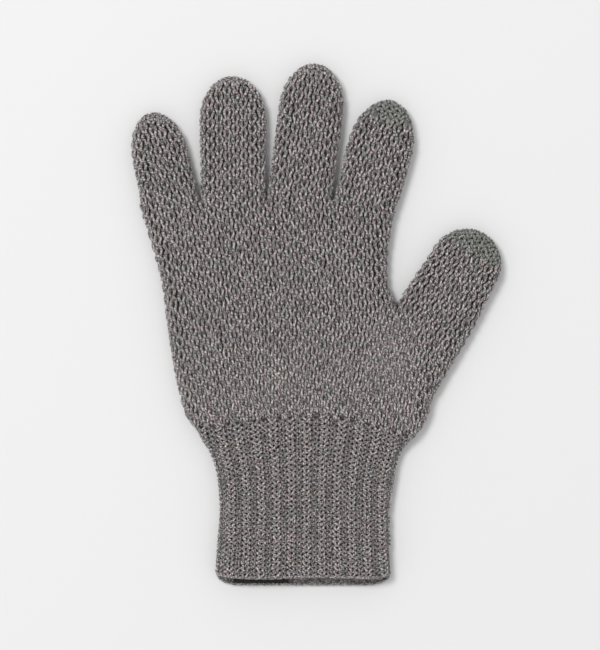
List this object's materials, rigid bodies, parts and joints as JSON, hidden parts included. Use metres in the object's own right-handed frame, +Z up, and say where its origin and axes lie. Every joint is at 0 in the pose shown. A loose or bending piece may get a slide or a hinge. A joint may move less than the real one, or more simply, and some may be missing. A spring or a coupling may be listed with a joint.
{
  "type": "knitted glove",
  "caption": "Full-finger marl knit glove lying flat palm up, with a ribbed cuff, fold-hinged fingers and thumb, and a woven label inside the hem.",
  "frame": {"origin": "centre of the footprint, on the surface the glove lies on", "axes": "+Y from the cuff to the fingertips; +X towards the thumb; +Z up, from the back of the glove to its palm side"},
  "size_m": [0.1804, 0.252, 0.012],
  "materials": {
    "hand_knit": "textured marl knit, fuzzy",
    "cuff_rib": "ribbed marl knit, fuzzy",
    "cuff_hem": "marl knit edge, fuzzy",
    "label": "woven tape, matt",
    "label_seam": "sewing thread",
    "index_lower": "textured marl knit, fuzzy",
    "index_upper": "textured marl knit, fuzzy",
    "index_tip": "textured marl knit, fuzzy",
    "middle_lower": "textured marl knit, fuzzy",
    "middle_upper": "textured marl knit, fuzzy",
    "middle_tip": "textured marl knit, fuzzy",
    "ring_lower": "textured marl knit, fuzzy",
    "ring_upper": "textured marl knit, fuzzy",
    "ring_tip": "textured marl knit, fuzzy",
    "little_lower": "textured marl knit, fuzzy",
    "little_upper": "textured marl knit, fuzzy",
    "little_tip": "textured marl knit, fuzzy",
    "thumb_lower": "textured marl knit, fuzzy",
    "thumb_upper": "textured marl knit, fuzzy",
    "thumb_tip": "textured marl knit, fuzzy"
  },
  "bodies": {
    "hand": {"hand_knit": "hand_knit"},
    "cuff": {"cuff_rib": "cuff_rib", "cuff_hem": "cuff_hem", "label": "label", "label_seam": "label_seam"},
    "index_lower": {"index_lower": "index_lower"},
    "index_upper": {"index_upper": "index_upper", "index_tip": "index_tip"},
    "middle_lower": {"middle_lower": "middle_lower"},
    "middle_upper": {"middle_upper": "middle_upper", "middle_tip": "middle_tip"},
    "ring_lower": {"ring_lower": "ring_lower"},
    "ring_upper": {"ring_upper": "ring_upper", "ring_tip": "ring_tip"},
    "little_lower": {"little_lower": "little_lower"},
    "little_upper": {"little_upper": "little_upper", "little_tip": "little_tip"},
    "thumb_lower": {"thumb_lower": "thumb_lower"},
    "thumb_upper": {"thumb_upper": "thumb_upper", "thumb_tip": "thumb_tip"}
  },
  "joints": [
    {"name": "cuff_fold", "type": "hinge", "parent": "hand", "child": "cuff", "pos_m": [-0.00521, -0.04996, 0.012], "axis": [-1, 0, 0], "range_deg": [0, 80]},
    {"name": "index_knuckle", "type": "hinge", "parent": "hand", "child": "index_lower", "pos_m": [0.02309, 0.05704, 0.012], "axis": [1, 0, 0], "range_deg": [0, 90]},
    {"name": "index_bend", "type": "hinge", "parent": "index_lower", "child": "index_upper", "pos_m": [0.02952, 0.08104, 0.012], "axis": [1, 0, 0], "range_deg": [0, 100]},
    {"name": "middle_knuckle", "type": "hinge", "parent": "hand", "child": "middle_lower", "pos_m": [-0.00851, 0.05704, 0.012], "axis": [1, 0, 0], "range_deg": [0, 90]},
    {"name": "middle_bend", "type": "hinge", "parent": "middle_lower", "child": "middle_upper", "pos_m": [-0.00435, 0.08904, 0.012], "axis": [1, 0, 0], "range_deg": [0, 100]},
    {"name": "ring_knuckle", "type": "hinge", "parent": "hand", "child": "ring_lower", "pos_m": [-0.04021, 0.05704, 0.012], "axis": [1, 0, 0], "range_deg": [0, 90]},
    {"name": "ring_bend", "type": "hinge", "parent": "ring_lower", "child": "ring_upper", "pos_m": [-0.04036, 0.08604, 0.012], "axis": [1, 0, 0], "range_deg": [0, 100]},
    {"name": "little_knuckle", "type": "hinge", "parent": "hand", "child": "little_lower", "pos_m": [-0.07041, 0.05704, 0.012], "axis": [1, 0, 0], "range_deg": [0, 90]},
    {"name": "little_bend", "type": "hinge", "parent": "little_lower", "child": "little_upper", "pos_m": [-0.0751, 0.07804, 0.012], "axis": [1, 0, 0], "range_deg": [0, 100]},
    {"name": "thumb_base", "type": "hinge", "parent": "hand", "child": "thumb_lower", "pos_m": [0.05808, 0.00324, 0.012], "axis": [0.8616, -0.5075, 0], "range_deg": [0, 60]},
    {"name": "thumb_bend", "type": "hinge", "parent": "thumb_lower", "child": "thumb_upper", "pos_m": [0.0695, 0.02263, 0.012], "axis": [0.8616, -0.5075, 0], "range_deg": [0, 80]}
  ]
}
